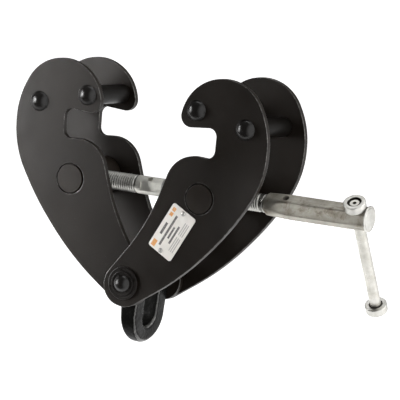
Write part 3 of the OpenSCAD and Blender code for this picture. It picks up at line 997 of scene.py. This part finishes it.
def label_face():
    """Pale printed plate: a few plain blocks and bars stand for the print."""
    f = Finish("label_face")
    split = f.node("ShaderNodeSeparateXYZ")
    f.link(f.place, split.inputs[0])
    colour = f.ramp(f.noise(90, detail=4), (0.3, (0.84, 0.805, 0.75)), (0.7, (0.95, 0.92, 0.87)))
    for x, y, wide, high, ink in MARKS:
        inside = []
        for axis, centre, size in (("X", x, wide), ("Y", y, high)):
            off = f.maths("SUBTRACT", split.outputs[axis], centre * MM)
            away = f.maths("ABSOLUTE", off)
            inside.append(f.maths("LESS_THAN", away, size / 2 * MM))
        mark = f.maths("MULTIPLY", *inside)
        worn = f.ramp(f.noise(1500, detail=2), (0.30, 0.55), (0.52, 0.92))
        colour = f.mix(f.maths("MULTIPLY", mark, worn), colour, ink)
    roughness = f.ramp(f.noise(200, detail=3), (0.3, 0.34), (0.7, 0.5))
    return f.finish(colour, roughness, f.bump(f.noise(400, detail=3), 0.04, 0.5), Metallic=0.15)


label_outline = rounded([(x * LABEL_SIZE[0] / 2, y * LABEL_SIZE[1] / 2, 2.5)
                         for x, y in ((-1, -1), (1, -1), (1, 1), (-1, 1))], 8)
label_holes = [circle(side * LABEL_RIVET_REACH, 0, 1.25, 32) for side in (-1, 1)]
label = curve_plate("nameplate_shaped", [label_outline] + label_holes, LABEL_T, 0.15,
                    LABEL_FRAME @ Matrix.Translation((0, 0, LABEL_T / 2 * MM)), steps=1)
dress(label, "right_jaw", "label", label_face(), "nameplate")

drive_rivets = []
for side in (-1, 1):
    drive_rivets.append(lathe("drive_rivet", [
        (0, 0), (1.2, 0), (1.2, LABEL_T), (2.4, LABEL_T, 0.1), (2.35, 1.25, 0.4), (1.4, 2.1, 0.8),
        (0.45, 2.3, 0.1), (0.3, 2.0), (0, 2.0)],
        LABEL_FRAME @ Matrix.Translation((side * LABEL_RIVET_REACH * MM, 0, 0)), 40))


def join(name, parts):
    """Joins pieces into one object whose own frame is the row's."""
    verts, faces = [], []
    for part in parts:
        start = len(verts)
        verts += [part.matrix_world @ v.co / MM for v in part.data.vertices]
        faces += [[start + i for i in p.vertices] for p in part.data.polygons]
        bpy.data.objects.remove(part)
    return make_object(name, verts, faces)


dress(join("nameplate_rivets_shaped", drive_rivets), "right_jaw", "label_rivet", label_rivet_metal,
      "nameplate_rivets")


# ---- camera, floor and light ----

VIEW_AZIMUTH = math.radians(28.83)
VIEW_ELEVATION = math.radians(8.61)
VIEW_ROLL = math.radians(5.24)
VIEW_DISTANCE = 2550                                  # from the pivot pin, in millimetres
AIM_RIGHT = 46.4                                      # aim point, from the pin in the camera's view
AIM_UP = 82.2
LENS_MM = 234
SENSOR_MM = 36


def place_camera():
    """Camera at the photo's angle, tilted a little about its own axis."""
    away = Vector((math.sin(VIEW_AZIMUTH) * math.cos(VIEW_ELEVATION),
                   -math.cos(VIEW_AZIMUTH) * math.cos(VIEW_ELEVATION),
                   math.sin(VIEW_ELEVATION)))
    right = (-away).cross(Vector((0, 0, 1))).normalized()
    up = right.cross(-away)
    eye = away * VIEW_DISTANCE
    forward = (right * AIM_RIGHT + up * AIM_UP - eye).normalized()
    right = forward.cross(Vector((0, 0, 1))).normalized()
    up = right.cross(forward)
    rolled_right = right * math.cos(VIEW_ROLL) + up * math.sin(VIEW_ROLL)
    rolled_up = up * math.cos(VIEW_ROLL) - right * math.sin(VIEW_ROLL)
    camera = bpy.data.objects.new("camera", bpy.data.cameras.new("camera"))
    bpy.context.scene.collection.objects.link(camera)
    turn = Matrix((rolled_right, rolled_up, -forward)).transposed().to_4x4()
    camera.matrix_world = Matrix.Translation(eye * MM) @ turn
    camera.data.lens = LENS_MM
    camera.data.sensor_width = SENSOR_MM
    camera.data.clip_end = 50
    bpy.context.scene.camera = camera


place_camera()

FLOOR_Z = -0.30                                       # in metres
FLOOR_FRONT = -180
FLOOR_REACH = 60000
floor_corners = [(-FLOOR_REACH, FLOOR_FRONT, 0), (FLOOR_REACH, FLOOR_FRONT, 0),
                 (FLOOR_REACH, FLOOR_REACH, 0), (-FLOOR_REACH, FLOOR_REACH, 0)]
floor = make_object("floor", floor_corners, [(0, 1, 2, 3)], Matrix.Translation((0, 0, FLOOR_Z)))
floor_finish = Finish("floor_finish")
floor.data.materials.append(floor_finish.finish((0.9, 0.9, 0.9), 0.9, Emission_Strength=0.8))
floor_finish.shader.inputs["Emission Color"].default_value = (1, 1, 1, 1)


BRIGHT_SIDE = (1.0, 0.0, 0.0)                         # direction of the studio's bright wall
DARK_SIDE = 0.08                                      # brightness of the rest, as a share of it
TOP_LIGHT = 0.13
STUDIO_STRENGTH = 1.6


def studio_world():
    """White studio: the backdrop is white, and what lights the object is bright on the right and
    dim elsewhere."""
    world = bpy.data.worlds.new("studio")
    bpy.context.scene.world = world
    world.use_nodes = True
    tree = world.node_tree
    link = tree.links.new

    def node(kind, **values):
        made = tree.nodes.new(kind)
        for key, value in values.items():
            setattr(made, key, value)
        return made

    def ramp(source, *stops):
        made = node("ShaderNodeValToRGB")
        for element, (position, value) in zip(made.color_ramp.elements, stops):
            element.position = position
            element.color = (value, value, value, 1)
        link(source, made.inputs["Fac"])
        return made.outputs["Color"]

    direction = node("ShaderNodeTexCoord").outputs["Generated"]
    sideways = node("ShaderNodeVectorMath", operation="DOT_PRODUCT")
    link(direction, sideways.inputs[0])
    sideways.inputs[1].default_value = BRIGHT_SIDE
    upwards = node("ShaderNodeSeparateXYZ")
    link(direction, upwards.inputs[0])
    around = ramp(sideways.outputs["Value"], (0.25, DARK_SIDE), (0.70, 1.0))
    above = ramp(upwards.outputs["Z"], (0.35, 0.0), (0.9, TOP_LIGHT))
    both = node("ShaderNodeMix", data_type="RGBA", blend_type="LIGHTEN")
    both.inputs[0].default_value = 1
    link(around, both.inputs[6])
    link(above, both.inputs[7])
    seen = node("ShaderNodeMix", data_type="RGBA")
    link(node("ShaderNodeLightPath").outputs["Is Camera Ray"], seen.inputs[0])
    link(both.outputs[2], seen.inputs[6])
    seen.inputs[7].default_value = (*[1 / STUDIO_STRENGTH] * 3, 1)
    tree.nodes["Background"].inputs["Strength"].default_value = STUDIO_STRENGTH
    link(seen.outputs[2], tree.nodes["Background"].inputs["Color"])


studio_world()


def soft_light(name, place, target, size, power, spread=180):
    """Rectangular soft light, with its place, target and size in metres, its power in watts and
    the angle of its beam in degrees."""
    data = bpy.data.lights.new(name, "AREA")
    data.shape = "RECTANGLE"
    data.size, data.size_y = size
    data.energy = power
    data.spread = math.radians(spread)
    light = bpy.data.objects.new(name, data)
    bpy.context.scene.collection.objects.link(light)
    aim = (Vector(target) - Vector(place)).to_track_quat("-Z", "Y")
    light.matrix_world = Matrix.Translation(place) @ aim.to_matrix().to_4x4()
    light.visible_camera = False


soft_light("left", (-1.38, -0.66, 0.25), (0, 0, 0.1), (0.3, 1.1), 16)
soft_light("near_left", (-0.42, -0.35, 0.14), (-0.12, 0, 0.11), (0.10, 0.5), 0.36, 42)
soft_light("near_sleeve", (0.01, -0.32, 0.05), (0.19, -0.01, 0.092), (0.06, 0.06), 0.006, 26)
soft_light("over", (0.1, 0.2, 1.5), (0.05, 0, 0.1), (1.2, 0.8), 6)
soft_light("right", (1.5, 0.35, 0.3), (0.1, 0, 0.1), (0.25, 1.1), 8)

bpy.context.scene.view_settings.view_transform = "Standard"
